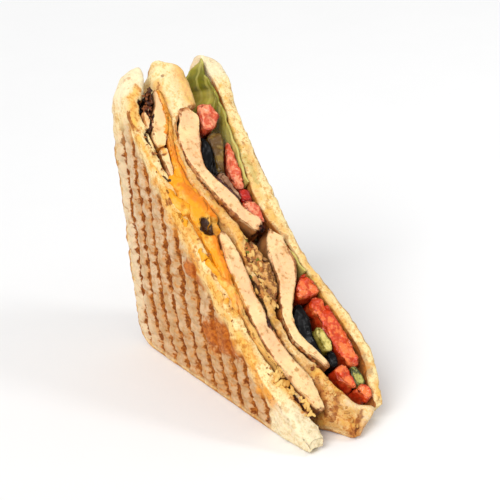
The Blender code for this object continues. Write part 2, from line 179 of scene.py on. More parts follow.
# Shapes

def curve(stations, at):
    """The height at each place of a smooth curve through the stations, without overshoot."""
    places, heights = np.array(stations, float).T
    steps = np.diff(places)
    slopes = np.diff(heights) / steps
    tangents = np.zeros_like(heights)
    product = slopes[:-1] * slopes[1:]
    total = slopes[:-1] + slopes[1:]
    tangents[1:-1] = np.where(product > 0, 2 * product / np.where(product > 0, total, 1), 0)
    i = np.clip(np.searchsorted(places, at) - 1, 0, len(steps) - 1)
    t = np.clip((at - places[i]) / steps[i], 0, 1)
    rise = t * t * (3 - 2 * t)
    start = heights[i] + (heights[i + 1] - heights[i]) * rise
    leave = tangents[i] * steps[i] * t * (1 - t) ** 2
    arrive = tangents[i + 1] * steps[i] * t * t * (1 - t)
    return start + leave - arrive


def step(low, high, value):
    """Rises smoothly from 0 at low to 1 at high."""
    t = np.clip((value - low) / (high - low), 0, 1)
    return t * t * (3 - 2 * t)


def soft_min(a, b, reach):
    """The smaller of two lengths, blended where they differ by less than reach."""
    h = np.clip(0.5 + 0.5 * (b - a) / reach, 0, 1)
    return b + (a - b) * h - reach * h * (1 - h)


def squeezed(s, y, d):
    """The height y through the layers, moved with them as they close up towards the crusts."""
    to_crust = np.minimum(s - d, CUT - s - d) / ROOT2
    behind = 1 - np.exp(-((np.maximum(d, 0) / CUT_REACH) ** 2))
    opened = 1 - (1 - step(*CRUST_REACH, to_crust)) * behind
    laid = [curve(stations, s) for stations in BOUNDARIES]
    now = [crust + (flat - crust) * opened for crust, flat in zip(AT_CRUST, laid)]
    result = np.where(y < laid[0], y + now[0] - laid[0], y + now[-1] - laid[-1])
    for i in range(len(laid) - 1):
        share = (y - laid[i]) / (laid[i + 1] - laid[i])
        inside = (y >= laid[i]) & (y <= laid[i + 1])
        result = np.where(inside, now[i] + (now[i + 1] - now[i]) * share, result)
    return result


def stood_up(x, y, z):
    """Rounds the crust's corner, leans the half as it stands, and centres it. Returns millimetres."""
    inwards = np.stack([CORNER_RADIUS - x, CORNER_RADIUS - z])
    at_corner = (inwards > 0).all(axis=0)
    square = np.where(at_corner, inwards.max(axis=0), 1)
    circle = np.where(at_corner, np.hypot(*inwards), 1)
    x = np.where(at_corner, CORNER_RADIUS - inwards[0] * square / circle, x)
    z = np.where(at_corner, CORNER_RADIUS - inwards[1] * square / circle, z)
    height = z / LEG
    return np.stack([x + LEAN_X * height + CORNER_AT[0], y + LEAN_Y * height + CORNER_AT[1], z], axis=1)


LATTICE_MASK = 4095
LATTICE = np.random.default_rng(7).uniform(-1, 1, LATTICE_MASK + 1)
SCATTER = (73856093, 19349663, 83492791)    # large primes, so that neighbouring cells draw far apart


def noise(places, size, seed=0):
    """Smooth noise from -1 to 1 whose lumps are about size millimetres, at (n, 3) places."""
    scaled = places / size + 31.7 * seed
    cell = np.floor(scaled).astype(np.int64)
    t = scaled - cell
    t = t * t * (3 - 2 * t)
    total = np.zeros(len(places))
    for corner in range(8):
        offset = np.array([corner & 1, corner >> 1 & 1, corner >> 2 & 1])
        i, j, k = (cell + offset).T * np.array(SCATTER)[:, None]
        value = LATTICE[(i ^ j ^ k) & LATTICE_MASK]
        total += value * np.prod(np.where(offset, t, 1 - t), axis=1)
    return total


def lumps(places, size, seed=0):
    """Three sizes of noise, halving each time."""
    return (noise(places, size, seed) + 0.5 * noise(places, size / 2, seed + 1)
            + 0.25 * noise(places, size / 4, seed + 2))


def block(parts):
    """A unit box mesh divided evenly along each axis: its corner places and its quads."""
    shape = bmesh.new()
    bmesh.ops.create_cube(shape, size=1.0)
    bmesh.ops.translate(shape, verts=shape.verts, vec=(0.5, 0.5, 0.5))
    for axis, count in enumerate(parts):
        along = [e for e in shape.edges if abs(e.verts[0].co[axis] - e.verts[1].co[axis]) > 0.5]
        if count > 1:
            bmesh.ops.subdivide_edges(shape, edges=along, cuts=count - 1)
    mesh = bpy.data.meshes.new("block")
    shape.to_mesh(mesh)
    shape.free()
    return mesh


def read_places(mesh):
    flat = np.empty(len(mesh.vertices) * 3)
    mesh.vertices.foreach_get("co", flat)
    return flat.reshape(-1, 3)


def write_places(mesh, places):
    mesh.vertices.foreach_set("co", np.ascontiguousarray(places, dtype=np.float32).ravel())
    mesh.update()


def normals_of(mesh):
    flat = np.empty(len(mesh.vertices) * 3)
    mesh.vertex_normals.foreach_get("vector", flat)
    return flat.reshape(-1, 3)


def swell(mesh, amount):
    """Moves the surface out along its normals by amount millimetres at each corner."""
    write_places(mesh, read_places(mesh) + normals_of(mesh) * amount[:, None] * MM)


def give(mesh, **values_by_name):
    """Stores one number a corner under each name, which the piece's material reads."""
    for name, values in values_by_name.items():
        made = mesh.attributes.new(name, "FLOAT", "POINT")
        made.data.foreach_set("value", np.clip(values, 0, 1).astype(np.float32))


def marked(marks, across, up):
    """How deep inside the marks each place is: 0.5 on a mark's edge, 1 on its middle line."""
    best = np.zeros_like(across)
    for half_width, points in marks:
        for (a, b), (c, d) in zip(points[:-1], points[1:]):
            length = (c - a) ** 2 + (d - b) ** 2
            t = np.clip(((across - a) * (c - a) + (up - b) * (d - b)) / length, 0, 1)
            away = np.hypot(across - a - t * (c - a), up - b - t * (d - b))
            best = np.maximum(best, 1 - away / (2 * half_width))
    return best


def mark_cut(mesh, s, y, d):
    """Stores the marks on the cut, faded a few millimetres behind it. Returns their relief."""
    places = np.stack([s, y, d], axis=1)
    s = s + 0.8 * noise(places, 3.0, 201) + 0.3 * noise(places, 1.1, 202)
    y = y + 0.5 * noise(places, 2.4, 203) + 0.25 * noise(places, 1.0, 204)
    near_cut = step(6.0, 2.0, d)
    # The dark marks are painted shadow in the gaps and holes; the relief below also sinks them.
    marks = {"cheesy": CHEESE_MARKS, "soaked": SOAKED_MARKS, "browned": BROWN_MARKS, "dark": DARK_MARKS,
             "greened": GREEN_MARKS}
    found = {name: marked(rows, s, y) * near_cut for name, rows in marks.items()}
    give(mesh, **found)
    return 0.4 * step(0.3, 0.8, found["cheesy"]) - 1.5 * step(0.35, 0.9, found["dark"])


def make_piece(name, mesh, places, material, nodes):
    """Makes a shaped block a piece that rides on the root and stands for its solids."""
    write_places(mesh, places * MM)
    shape = bmesh.new()
    shape.from_mesh(mesh)
    if shape.calc_volume(signed=True) < 0:
        bmesh.ops.reverse_faces(shape, faces=shape.faces)
    shape.to_mesh(mesh)
    shape.free()
    mesh.shade_smooth()
    mesh.materials.append(material)
    mesh.name = name
    piece = bpy.data.objects.new(name, mesh)
    bpy.context.scene.collection.objects.link(piece)
    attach(piece, "root")
    if nodes:
        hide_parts(*nodes)


def off_bar(x, first_bar):
    """Distance from the middle of the nearest pressed bar: half a pitch on top of a ridge."""
    return np.abs((x - first_bar + BAR_PITCH / 2) % BAR_PITCH - BAR_PITCH / 2)


def pressed(x, z, s, first_bar, seed):
    """The bars pressed into a slice: its puffed ridges, its knobs and how far bars reach, from 0 to 1."""
    flat = np.stack([x, z, 0 * x], axis=1)
    slanted = np.stack([x + 0.8 * z, 2.6 * (z - 0.8 * x), 0 * x], axis=1)
    wander = (0.35 * noise(flat, 14, seed) + 0.3 * noise(flat, 3.5, seed + 1)
              + 0.75 * noise(slanted, 2.3, seed + 2))
    off = off_bar(x + wander, first_bar)
    ridge = step(0.7, 2.5, off)
    column = np.floor((x - first_bar) / BAR_PITCH).astype(int)
    shift = 7 * LATTICE[(column * 57 + seed) & LATTICE_MASK]
    beat = z * 2 * math.pi / KNOB_PITCH + 1.6 * noise(flat, 7, seed + 3) + shift
    knob = step(-1.0, 0.2, np.sin(beat) + 0.7 * noise(slanted, 2.8, seed + 4))
    fade = 2.5 * noise(flat, 6, seed + 5)
    reach = step(3.5, 10.0, np.minimum(LEG - x - z, 40) / ROOT2 + fade + 0.5)
    reach *= step(0.3, 2.6, np.minimum(x, z)) * step(15.0, 34.0, s + 2 * fade)
    return ridge, knob, reach


def bread(node, faces, tips, parts, grilled, material, seed, tip_drop=0.0, raised=lambda s: 0.0):
    """One slice, columns upright from its bottom crust to the cut, with its toast and its crumb.

    grilled is (side, first bar) for pressed bars on the -1 front or +1 back, or None. tip_drop rounds
    the outer edge of its upper tip by so many millimetres. raised lifts its cut above the plane.
    """
    mesh = block(parts)
    u, v, w = read_places(mesh).T
    right_end = tips[1] / ROOT2 - TIP_BLUNTED
    x = u * right_end
    top = soft_min(LEG - x, x + LEG - ROOT2 * tips[0], TIP_ROUNDING)
    outward = (w if grilled[0] > 0 else 1 - w) if grilled else np.abs(2 * w - 1)
    upper = step(30.0, 8.0, x + LEG - top)
    top = top - tip_drop * outward ** 1.6 * upper
    thickness = curve(faces[1], x * ROOT2) - curve(faces[0], x * ROOT2)
    softness = np.minimum(1.6, 0.3 * thickness)
    top = top - softness * (np.abs(2 * w - 1) ** 6 + 0.6 * outward ** 8) + raised(x * ROOT2)
    bottom = -soft_min(0 * x, -(x + LEG - ROOT2 * tips[1]), 3.0)
    z = bottom + (top - bottom) * v
    s = (x + LEG - z) / ROOT2
    d = (LEG - x - z) / ROOT2
    flat = np.stack([x, z, 20.0 * w], axis=1)
    laid = [curve(stations, s) for stations in faces]
    sides = [squeezed(s, height, d) for height in laid]
    edge = np.minimum(x, z)
    blank = np.zeros_like(x)
    ridge, knob, reach, torn = blank, blank, blank, blank
    if grilled:
        side, first_bar = grilled
        ridge, knob, reach = pressed(x, z, s, first_bar, seed)
        if side < 0:
            # The tear starts on a slanted, ragged line.
            past = x - TORN_FROM - 0.5 * (z - 7) + 3 * noise(flat, 5, seed + 8)
            torn = step(-3.0, 3.0, past) * step(*TORN_HEIGHTS, z)
        reach = reach * (1 - torn)
        outwards = reach * (ridge * (0.55 + 0.32 * knob + 0.25 * noise(flat, 3.0, seed + 9)) - 1) * BAR_DEPTH
        sides[0 if side < 0 else 1] += side * (outwards + 0.2)
    middle = (sides[0] + sides[1]) / 2
    half = (sides[1] - sides[0]) / 2
    round_off = 1 - np.clip(edge / CRUST_ROUNDING, 0, 1)
    half = half * np.sqrt(1 - (1 - CRUST_FLAT ** 2) * round_off ** 2)
    if grilled:
        half = half * (1 - TAPER * step(right_end - TAPER_REACH, right_end, x) ** 2)
    places = stood_up(x, middle + half * (2 * w - 1), z)
    make_piece(node + "_toast", mesh, places, material, [node])

    on_cut = step(1.9, 0.3, d)
    outer = step(0.9, 0.97, outward) if grilled else blank
    relief = mark_cut(mesh, s, laid[0] + (laid[1] - laid[0]) * w, d)
    # Each noise below is its height, then the size of its lumps, both in millimetres.
    grain = 0.12 * lumps(places, 1.5, seed + 10) + 0.16 * noise(places, 5, seed + 11)
    crunch = reach * outer * (0.26 * noise(places, 1.3, seed + 12) + 0.22 * noise(places, 2.4, seed + 13))
    holes = np.maximum(0, noise(places, 2.0, seed + 14) - 0.2) * (0.45 + 0.5 * torn) * (1 - 0.7 * reach)
    ragged = on_cut * (1 - torn) * (0.42 * lumps(places, 3.0, seed + 15)
                                    + 0.2 * noise(places, 1.0, seed + 16))
    tear = torn * (0.6 * noise(places, 4.2, seed + 17) + 0.25 * noise(places, 1.5, seed + 23) - 0.1)
    wavy = step(6.0, 0.0, edge) * (0.45 * noise(places, 5.5, seed + 18) + 0.3 * noise(places, 2.0, seed + 21)
                                   + 0.2 * noise(places, 1.1, seed + 22))
    standing = step(-0.3, 1.6, z)
    swell(mesh, (grain + crunch - holes + ragged + tear + wavy + relief) * standing)
    cut_band = step(12.5, 4.0, d + 3.0 * noise(flat, 5.0, seed + 19)) * outer * step(34.0, 62.0, s)
    inner = step(0.2, 0.02, outward) * step(0.4, 1.6, d) * step(16.0, 9.0, d)
    pale_edge = step(17.0, 3.0, x + 2.5 * noise(flat, 6.0, seed + 24)) * outer
    scorched = marked(SCORCHED_MARKS, x + 1.5 * noise(flat, 4, seed + 20), z) * outer
    give(mesh, ridge=ridge, knob=knob, grilled=reach * outer, torn=torn, cut_band=cut_band,
         scorched=scorched, inner=inner, pale_edge=pale_edge,
         crust=step(2.2, 0.5, edge) * step(3.0, 9.0, d), along=s / CUT, across=w)


def filling(node, span, front, back, near, far, parts, material, seed, roundness=4.0,
            rough=0.22, grain=3.2):
    """A piece of filling between its front and back faces, rounded along the cut's section."""
    mesh = block(parts)
    u, v, w = read_places(mesh).T
    across = np.stack([2 * u - 1, 2 * w - 1])
    square = np.abs(across).max(axis=0)
    norm = (np.abs(across) ** roundness).sum(axis=0) ** (1 / roundness)
    across = across * np.where(norm > 0, square / np.where(norm > 0, norm, 1), 1)
    s = (span[0] + span[1]) / 2 + across[0] * (span[1] - span[0]) / 2
    deepest = soft_min(s, CUT - s, 10.0) - FILLING_SETBACK * ROOT2
    if far is not None:
        deepest = np.minimum(deepest, far)
    rim = np.abs(across).max(axis=0)
    d = near + (deepest - near) * v ** 1.8
    d = d + 0.4 * step(0.7, 1.0, rim) ** 2 * (v < 0.5 / parts[1])
    low, high = curve(front, s), curve(back, s)
    half = (high - low) / 2 * (1 - 0.12 * step(0.0, CUT_REACH, d))
    y = (low + high) / 2 + across[1] * half
    x = (s - d) / ROOT2
    z = (CUT - s - d) / ROOT2
    places = stood_up(x, squeezed(s, y, d), z)
    make_piece(node + "_piece", mesh, places, material, [node])
    relief = mark_cut(mesh, s, y, d)
    near_cut = step(5.0, 1.0, d - near)
    uneven = near_cut * (0.5 * noise(places, 6.0, seed + 5) + 0.3 * noise(places, 2.6, seed + 6))
    swell(mesh, FULLER + relief + uneven + rough * lumps(places, grain, seed))
    give(mesh, rim=rim, on_cut=step(2.5, 0.4, d - near), along=s / CUT)


def leaf(node, span, near, far, ripple, thickness, parts, material, frill):
    """A thin wavy leaf lying along the back slice."""
    mesh = block((*parts, 1))
    u, v, w = read_places(mesh).T
    s = span[0] + (span[1] - span[0]) * u
    deepest = np.minimum(far, soft_min(s, CUT - s, 10.0) - FILLING_SETBACK)
    edge = frill * (np.sin(s * 0.9) + 0.8 * np.sin(s * 0.37 + 1.0))
    d = near + edge + (deepest - near) * v
    height = curve(ripple, s)
    wave = 0.5 + 0.5 * np.sin(s * 0.42 + d * 0.2) * np.cos(d * 0.17 - s * 0.06)
    vein = 0.1 * np.sin(s * 1.7 + d * 0.8) * height
    y = curve(BACK_INNER, s) - 0.6 - thickness / 2 - 2 * height * wave + vein + (w - 0.5) * thickness
    places = stood_up((s - d) / ROOT2, squeezed(s, y, d), (CUT - s - d) / ROOT2)
    make_piece(node + "_leaf", mesh, places, material, [node])
    swell(mesh, 0.12 * lumps(places, 3.0, 140))
    give(mesh, along=s / CUT, raised=wave)


def smear(name, span, across, near, parts, material, seed):
    """Melted cheese run over the cut: thick on the cheese marks, sunk out of sight off them."""
    mesh = block(parts)
    u, v, w = read_places(mesh).T
    s = span[0] + (span[1] - span[0]) * u
    lowest = np.maximum(across[0], curve(FRONT_OUTER, s) + 0.3)
    y = lowest + (across[1] - lowest) * w
    places = np.stack([s, y, 0 * s], axis=1)
    moved_s = s + 1.2 * noise(places, 3.6, seed) + 0.5 * noise(places, 1.5, seed + 1)
    moved_y = y + 0.8 * noise(places, 3.0, seed + 2) + 0.4 * noise(places, 1.3, seed + 3)
    thick = marked(RUN_MARKS, moved_s, moved_y) - 1.2 * marked([HOLE_MARK], s, y)
    thick = thick + 0.25 * noise(places, 1.8, seed + 4)
    rise = near + 1.1 * step(0.42, 1.0, thick) - 2.0 * step(0.5, 0.25, thick)
    d = np.where(v > 0.5, 3.0, -rise) + 0.5 * (np.abs(2 * w - 1) ** 8 + np.abs(2 * u - 1) ** 30)
    laid = stood_up((s - d) / ROOT2, squeezed(s, y, d), (CUT - s - d) / ROOT2)
    make_piece(name, mesh, laid, material, [])
    swell(mesh, 0.16 * lumps(laid, 1.8, seed + 5))
    # dark brings the painted shadow of the holes onto the smear
    give(mesh, cheesy=marked(CHEESE_MARKS, moved_s, moved_y), dark=marked(DARK_MARKS, s, y), along=s / CUT)


def flecks(name, along, across, count, sizes, material, seed):
    """Small irregular bits strewn over a part of the cut, in one piece of mesh."""
    chance = np.random.default_rng(seed)
    ball = bmesh.new()
    bmesh.ops.create_icosphere(ball, subdivisions=2, radius=1.0)
    round_places = np.array([v.co[:] for v in ball.verts])
    faces = [[v.index for v in f.verts] for f in ball.faces]
    ball.free()
    all_places, all_faces = [], []
    for number in range(count):
        s = chance.uniform(*along)
        y = curve(across, s) + chance.normal(0, 1.0)
        size = chance.uniform(*sizes) * np.array([1.6, 0.8, 0.6])
        turn = chance.uniform(0, math.pi)
        bit = round_places * size * (1 + 0.35 * noise(round_places + 9.0 * number, 0.9, seed))[:, None]
        turned = np.stack([bit[:, 0] * math.cos(turn) - bit[:, 1] * math.sin(turn),
                           bit[:, 0] * math.sin(turn) + bit[:, 1] * math.cos(turn), bit[:, 2]])
        bit_s, bit_y = turned[0] + s, turned[1] + y
        bit_d = turned[2] - FLECK_LIFT * chance.uniform(0.2, 1.0)
        all_faces += [[i + len(round_places) * number for i in face] for face in faces]
        all_places.append(stood_up((bit_s - bit_d) / ROOT2, bit_y, (CUT - bit_s - bit_d) / ROOT2))
    mesh = bpy.data.meshes.new(name)
    mesh.from_pydata(np.concatenate(all_places).tolist(), [], all_faces)
    make_piece(name, mesh, np.concatenate(all_places), material, [])


# Materials

# In each function that makes one, f is the surface. Colours are sRGB bytes, and the sizes of lumps, the
# depths of relief and the places along the cut are in millimetres.
MIX_SHARE, MIX_FIRST, MIX_SECOND, MIX_RESULT = 0, 6, 7, 2    # a Mix node's sockets for colours


class Link:
    """A shader socket that takes part in ordinary arithmetic."""

    def __init__(self, surface, socket):
        self.surface = surface
        self.socket = socket

    def maths(self, operation, first, second):
        return self.surface.add("ShaderNodeMath", {"operation": operation}, (first, second))

    def __add__(self, other):
        return self.maths("ADD", self, other)

    def __sub__(self, other):
        return self.maths("SUBTRACT", self, other)

    def __rsub__(self, other):
        return self.maths("SUBTRACT", other, self)

    def __mul__(self, other):
        return self.maths("MULTIPLY", self, other)

    __radd__ = __add__
    __rmul__ = __mul__


def srgb(red, green, blue):
    """Linear colour with alpha from sRGB bytes."""
    def linear(byte):
        part = byte / 255
        return part / 12.92 if part <= 0.04045 else ((part + 0.055) / 1.055) ** 2.4
    return linear(red), linear(green), linear(blue), 1.0


class Surface:
    """One material. The shader's own sockets are set by name, and add() makes its other nodes."""

    def __init__(self, name, roughness, **constants):
        self.material = bpy.data.materials.new(name)
        self.material.use_nodes = True
        self.tree = self.material.node_tree
        self.shader = self.tree.nodes["Principled BSDF"]
        self.shader.inputs["Roughness"].default_value = roughness
        for key, value in constants.items():
            self.shader.inputs[key.replace("_", " ")].default_value = value
        self.place = self.add("ShaderNodeTexCoord", {}, (), "Object")

    def add(self, kind, settings, inputs, output=0):
        """Adds a node, sets it, then feeds its sockets, by name or in order. Returns one output."""
        node = self.tree.nodes.new(kind)
        for key, value in settings.items():
            setattr(node, key, value)
        fed = inputs.items() if isinstance(inputs, dict) else enumerate(inputs)
        for key, value in fed:
            if isinstance(value, Link):
                self.tree.links.new(value.socket, node.inputs[key])
            else:
                node.inputs[key].default_value = value
        return Link(self, node.outputs[output])

    def given(self, name):
        return self.add("ShaderNodeAttribute", {"attribute_name": name}, (), "Fac")

    def speckle(self, size, detail=3.0, harsh=0.6):
        """Noise about 0.5 with lumps of about size millimetres."""
        return self.add("ShaderNodeTexNoise", {}, {"Vector": self.place, "Scale": 0.5 / (size * MM),
                                                   "Detail": detail, "Roughness": harsh}, "Fac")

    def streak(self, size, turn, longer):
        """Noise drawn out into streaks across the grilled face, turned by so many degrees."""
        turned = {"Vector": self.place, "Rotation": (0, math.radians(turn), 0), "Scale": (1 / longer, 1, 1)}
        mapped = self.add("ShaderNodeMapping", {}, turned, "Vector")
        return self.add("ShaderNodeTexNoise", {}, {"Vector": mapped, "Scale": 0.5 / (size * MM),
                                                   "Detail": 2.0, "Roughness": 0.6}, "Fac")

    def between(self, value, low, high):
        """0 below low, 1 above high, smooth between; low may be above high."""
        return self.add("ShaderNodeMapRange", {"interpolation_type": "SMOOTHSTEP"},
                        {"Value": value, "From Min": low, "From Max": high}, "Result")

    def mix(self, share, first, second):
        """A colour between two, each a link or sRGB bytes."""
        first, second = (shade if isinstance(shade, Link) else srgb(*shade) for shade in (first, second))
        return self.add("ShaderNodeMix", {"data_type": "RGBA"},
                        {MIX_SHARE: share, MIX_FIRST: first, MIX_SECOND: second}, MIX_RESULT)

    def marked_cut(self, colour, fine, medium, strength=1.0):
        """The colour with the cut's cheese, soaked, browned and green marks, and painted shadow in its dark
        gaps.
        """
        ragged = (fine - 0.5) * 1.4 + (medium - 0.5) * 0.7
        layers = (("soaked", 0.26, 0.88, 0.85, (240, 190, 90), (212, 134, 32)),
                  ("greened", 0.26, 0.80, 0.8, (182, 168, 74), (142, 126, 34)),
                  ("cheesy", 0.36, 0.60, 0.95, (244, 164, 16), (230, 124, 2)),
                  ("browned", 0.28, 0.74, 0.9, (184, 108, 40), (124, 60, 16)),
                  # dark is painted shadow in the gaps and holes between the layers
                  ("dark", 0.32, 0.60, 0.97, (88, 28, 8), (32, 7, 2)))
        for name, low, high, share, light, deep in layers:
            shown = self.between(self.given(name) + ragged, low, high) * (share * strength)
            colour = self.mix(shown, colour, self.mix(self.between(fine, 0.36, 0.64), light, deep))
        return colour

    def joined(self, colour, roughness, relief, depth):
        """Joins the colour, the roughness unless it is None, and a relief of depth millimetres."""
        bump = self.add("ShaderNodeBump", {}, {"Height": relief, "Distance": depth * MM, "Strength": 0.8},
                        "Normal")
        for name, link in (("Base Color", colour), ("Roughness", roughness), ("Normal", bump)):
            if link is not None:
                self.tree.links.new(link.socket, self.shader.inputs[name])
        return self.material


def toasted_crumb(name, stained):
    """Toast: pale puffed ridges with painted shade between their knobs, browned bars, a cream cut edge
    stained with cheese to the share given.
    """
    f = Surface(name, 0.8, Specular_IOR_Level=0.2, Subsurface_Weight=0.05, Subsurface_Scale=0.0015)
    fine, medium, broad = f.speckle(0.8, 3, 0.7), f.speckle(2.2), f.speckle(12, 2)
    crumb = f.mix(f.between(fine, 0.30, 0.54), (212, 158, 90), (244, 220, 160))
    crumb = f.mix(f.between(medium, 0.52, 0.66) * 0.65, crumb, (222, 172, 84))
    puffed = f.mix(f.between(medium, 0.38, 0.62), (212, 182, 146), (192, 154, 110))
    puffed = f.mix(f.between(fine, 0.50, 0.66) * 0.55, puffed, (176, 118, 62))
    bar = f.mix(f.between(fine, 0.38, 0.60), (172, 98, 26), (118, 56, 10))
    streak = f.streak(0.9, 38, 3.2)
    in_bar = (1 - f.given("ridge")) + (fine - 0.5) * 0.9 + (streak - 0.5) * 2.2 + (broad - 0.5) * 0.5
    # The puffed ridges darken towards the lower tip.
    toasting = f.between(f.given("along") * CUT + (broad - 0.5) * 30, 50, 112) * 0.4
    puffed = f.mix(toasting, puffed, (188, 138, 84))
    puffed = f.mix(f.between(in_bar + (medium - 0.5) * 0.8, 0.05, 0.60) * 0.6, puffed, (206, 134, 60))
    puffed = f.mix(f.given("pale_edge") * 0.7, puffed, f.mix(fine, (220, 192, 150), (236, 220, 188)))
    face = f.mix(f.between(in_bar, 0.42, 0.80), puffed, bar)
    # Painted shade in the hollows between the puffed knobs.
    valley = (1 - f.given("knob")) * 0.5 + (fine - 0.5) * 0.9 + (streak - 0.5) * 1.8
    face = f.mix(f.between(valley, 0.40, 0.80) * 0.55, face, (168, 102, 42))
    scorch = f.between(f.given("scorched") + (medium - 0.5) * 0.9 + (fine - 0.5) * 0.6, 0.18, 0.56) * 0.9
    face = f.mix(scorch, face, f.mix(f.between(fine, 0.35, 0.65), (196, 108, 28), (150, 68, 10)))
    colour = f.mix(f.given("grilled"), crumb, face)
    band = f.between(f.given("cut_band") + (medium - 0.5) * 1.1 + (fine - 0.5) * 0.7, 0.35, 0.95) * 0.85
    melted = f.mix(f.between(medium + (broad - 0.5) * 1.2, 0.38, 0.60), (240, 200, 122), (226, 146, 40))
    colour = f.mix(band, colour, f.mix(f.between(fine, 0.50, 0.62) * 0.75, melted, (180, 98, 30)))
    crusty = f.mix(f.between(medium, 0.3, 0.7), (212, 160, 98), (176, 116, 58))
    colour = f.mix(f.between(f.given("crust") + (medium - 0.5) * 0.5, 0.4, 0.9), colour, crusty)
    sauced = f.between(f.given("inner") + (medium - 0.5) * 0.8, 0.25, 0.65) * 0.92
    colour = f.mix(sauced, colour, f.mix(f.between(fine, 0.36, 0.62), (206, 122, 42), (146, 72, 18)))
    white = f.mix(f.between(fine, 0.35, 0.58), (214, 192, 148), (238, 222, 186))
    pale_tip = f.between(f.given("along") * CUT + (medium - 0.5) * 12, 24, 16) * 0.75
    colour = f.mix(pale_tip, colour, f.mix(fine, (234, 218, 176), (246, 234, 204)))
    colour = f.mix(f.given("torn") * 0.9, colour, white)
    colour = f.marked_cut(colour, fine, medium, stained)
    pits = f.between(fine + (medium - 0.5) * 0.5, 0.56, 0.68) * (1 - f.given("grilled")) * 0.45
    colour = f.mix(pits * (1 - f.given("torn") * 0.8), colour, (182, 116, 50))
    return f.joined(colour, 0.62 + fine * 0.3, fine * 0.8 + medium * 0.5, 0.7)


def soft_crumb():
    """The middle slice: cream at the upper tip, yellowed between, browned at the lower tip."""
    f = Surface("soft crumb", 0.75, Specular_IOR_Level=0.3, Subsurface_Weight=0.05, Subsurface_Scale=0.0015)
    fine, medium = f.speckle(0.8, 3, 0.7), f.speckle(2.4)
    along = f.given("along") * CUT
    colour = f.mix(f.between(fine, 0.38, 0.60), (212, 158, 84), (246, 216, 158))
    colour = f.mix(f.between(medium, 0.50, 0.66) * 0.6, colour, (220, 162, 68))
    ochre = f.mix(f.between(fine, 0.38, 0.62), (216, 162, 72), (170, 110, 34))
    upper = f.between(along + (medium - 0.5) * 12, 34, 24) * 0.7
    colour = f.mix(upper, colour, f.mix(f.between(fine, 0.32, 0.54), (230, 194, 122), (248, 232, 180)))
    shown = f.between(along, 30, 36) * f.between(medium + (fine - 0.5) * 1.2, 0.34, 0.66) * 0.75
    colour = f.mix(shown, colour, ochre)
    orange = f.mix(f.between(fine, 0.36, 0.62), (230, 164, 72), (190, 108, 32))
    low = f.between(along, 120, 134) * f.between(medium + (fine - 0.5) * 1.4, 0.40, 0.74) * 0.75
    colour = f.mix(low, colour, orange)
    back_side = f.between(f.given("across") + (medium - 0.5) * 0.6, 0.45, 0.75)
    pale_end = f.between(along, 136, 142) * back_side * 0.8
    colour = f.mix(pale_end, colour, f.mix(f.between(fine, 0.36, 0.62), (230, 190, 124), (246, 222, 176)))
    under = f.between(along + (medium - 0.5) * 10 + (fine - 0.5) * 6, 148, 152)
    colour = f.mix(under * 0.7, colour, f.mix(fine, (200, 122, 48), (136, 66, 20)))
    crusty = f.mix(medium, (206, 150, 88), (160, 98, 44))
    colour = f.mix(f.given("crust"), colour, crusty)
    colour = f.marked_cut(colour, fine, medium, 0.8)
    return f.joined(colour, 0.6 + fine * 0.3, fine * 0.6 + medium * 0.6, 0.65)


def sliced_chicken():
    """Cooked chicken: pale and faintly pink where cut, seared brown here and there round its rim, painted
    shade behind the cut.
    """
    f = Surface("sliced chicken", 0.5, Specular_IOR_Level=0.35, Subsurface_Weight=0.1, Subsurface_Scale=0.002)
    fine, medium, broad = f.speckle(0.8, 4), f.speckle(2.4), f.speckle(9, 2)
    colour = f.mix(f.between(broad, 0.42, 0.58), (246, 210, 152), (242, 194, 142))
    colour = f.mix(f.between(medium + (fine - 0.5) * 0.5, 0.50, 0.68) * 0.6, colour, (222, 162, 98))
    colour = f.mix(f.between(fine, 0.54, 0.68) * 0.55, colour, (194, 130, 68))
    seared = f.mix(f.between(fine, 0.4, 0.6), (190, 120, 52), (132, 70, 22))
    rim = f.given("rim") + (medium - 0.5) * 0.26 + (broad - 0.5) * 0.14 + (fine - 0.5) * 0.1
    colour = f.mix(f.between(rim, 0.92, 1.0) * 0.85, colour, seared)
    nick = f.between(fine + (medium - 0.5) * 0.5, 0.62, 0.74)
    colour = f.mix(nick * 0.3, colour, (192, 130, 68))
    # Painted shade: surfaces running back from the cut into the sandwich are darkened brown.
    inside = f.mix(f.between(medium, 0.38, 0.62), (164, 100, 44), (104, 52, 16))
    colour = f.mix(f.between(f.given("on_cut"), 0.75, 0.1) * 0.92, colour, inside)
    colour = f.marked_cut(colour, fine, medium)
    return f.joined(colour, 0.42 + fine * 0.25, fine * 0.7 + medium * 0.5 - nick * 0.4, 0.55)


def wet_food(name, pale, deep, dark, roughness, size, rim_share=0.6, specular=0.4, bumps=0.45):
    """A wet vegetable or meat: two shades in patches, a darker rim, and painted shade back from the cut."""
    f = Surface(name, roughness, Specular_IOR_Level=specular, Subsurface_Weight=0.03, Subsurface_Scale=0.0015)
    fine, medium = f.speckle(size / 3, 3), f.speckle(size, 2)
    colour = f.mix(f.between(medium + (fine - 0.5) * 0.5, 0.40, 0.60), pale, deep)
    rim = f.given("rim") + (fine - 0.5) * 0.4
    colour = f.mix(f.between(rim, 0.78, 1.0) * rim_share, colour, dark)
    # Painted shade: the dark colour again where the piece runs back from the cut.
    colour = f.mix(f.between(f.given("on_cut"), 0.7, 0.0) * 0.7, colour, dark)
    return f.joined(colour, roughness * 0.6 + medium * 0.4, medium + fine * 0.4, bumps)


